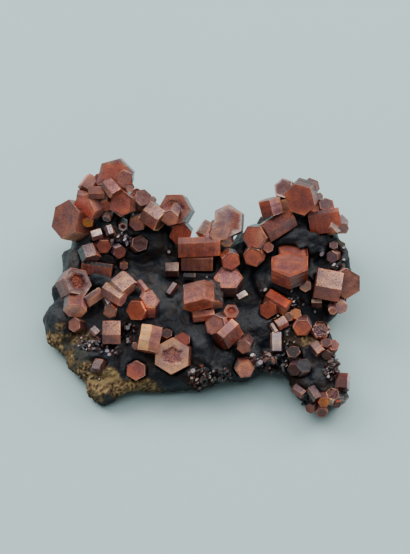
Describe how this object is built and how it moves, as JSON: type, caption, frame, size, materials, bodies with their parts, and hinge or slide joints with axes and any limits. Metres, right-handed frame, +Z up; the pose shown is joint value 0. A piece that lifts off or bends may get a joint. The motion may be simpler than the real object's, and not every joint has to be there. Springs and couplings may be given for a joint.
{
  "type": "vanadinite crystals on matrix",
  "caption": "Mineral specimen: short orange-red to brown hexagonal vanadinite prisms, many with pale faces, scattered and clustered on a low black botryoidal crust with an ochre rim.",
  "frame": {"origin": "middle of the specimen's footprint box, at the flat underside of the matrix", "axes": "+X to the right along the longest extent, +Y to the back, +Z up"},
  "size_m": [0.0636, 0.052, 0.0213],
  "materials": {
    "vanadinite": "resinous crystal faces, orange-red to pinkish brown, softly reflective",
    "deep_red_vanadinite": "resinous crystal faces, deep red to maroon brown, softly reflective",
    "pale_vanadinite": "frosted pale beige to white faces of small crystals",
    "smoky_vanadinite": "smoky mauve to grey crystal faces, softly reflective",
    "matrix_crust": "rough black manganese and iron oxide crust, satin on its rounded lumps, ochre on the lower edge"
  },
  "bodies": {
    "root": {"bright_chip": "pale_vanadinite", "bright_chip_east": "pale_vanadinite", "centre_cube": "vanadinite", "centre_cup": "vanadinite", "centre_etched": "vanadinite", "centre_hexagon": "vanadinite", "centre_slab": "deep_red_vanadinite", "chip_east": "pale_vanadinite", "dark_ring": "smoky_vanadinite", "east_bar": "vanadinite", "east_buds": "smoky_vanadinite", "east_disc": "vanadinite", "east_round": "smoky_vanadinite", "far_east": "vanadinite", "great_hexagon": "vanadinite", "matrix": "matrix_crust", "mauve_bud": "smoky_vanadinite", "middle_chip": "pale_vanadinite", "middle_crystals": "vanadinite", "middle_east": "vanadinite", "middle_sliver": "pale_vanadinite", "north_block": "deep_red_vanadinite", "north_centre": "vanadinite", "north_crown": "vanadinite", "north_orange": "vanadinite", "northeast_crystals": "vanadinite", "northwest_crystals": "deep_red_vanadinite", "northwest_tiny": "vanadinite", "slate_chip": "smoky_vanadinite", "south_coral": "vanadinite", "south_hexagon": "vanadinite", "south_hopper": "vanadinite", "south_tower": "vanadinite", "southeast_amber": "vanadinite", "southeast_box": "smoky_vanadinite", "southeast_chip": "pale_vanadinite", "southeast_gold": "vanadinite", "southeast_group": "vanadinite", "southeast_orange": "vanadinite", "southeast_red": "deep_red_vanadinite", "southwest_block": "vanadinite", "southwest_chip": "pale_vanadinite", "southwest_mauve": "smoky_vanadinite", "tail_box": "vanadinite", "tail_end_crystals": "deep_red_vanadinite", "tail_top_crystals": "smoky_vanadinite", "tail_west": "vanadinite", "west_dark_red": "deep_red_vanadinite", "west_foot": "vanadinite", "west_garnet": "deep_red_vanadinite", "west_hopper": "vanadinite", "west_pale": "vanadinite"}
  },
  "joints": []
}
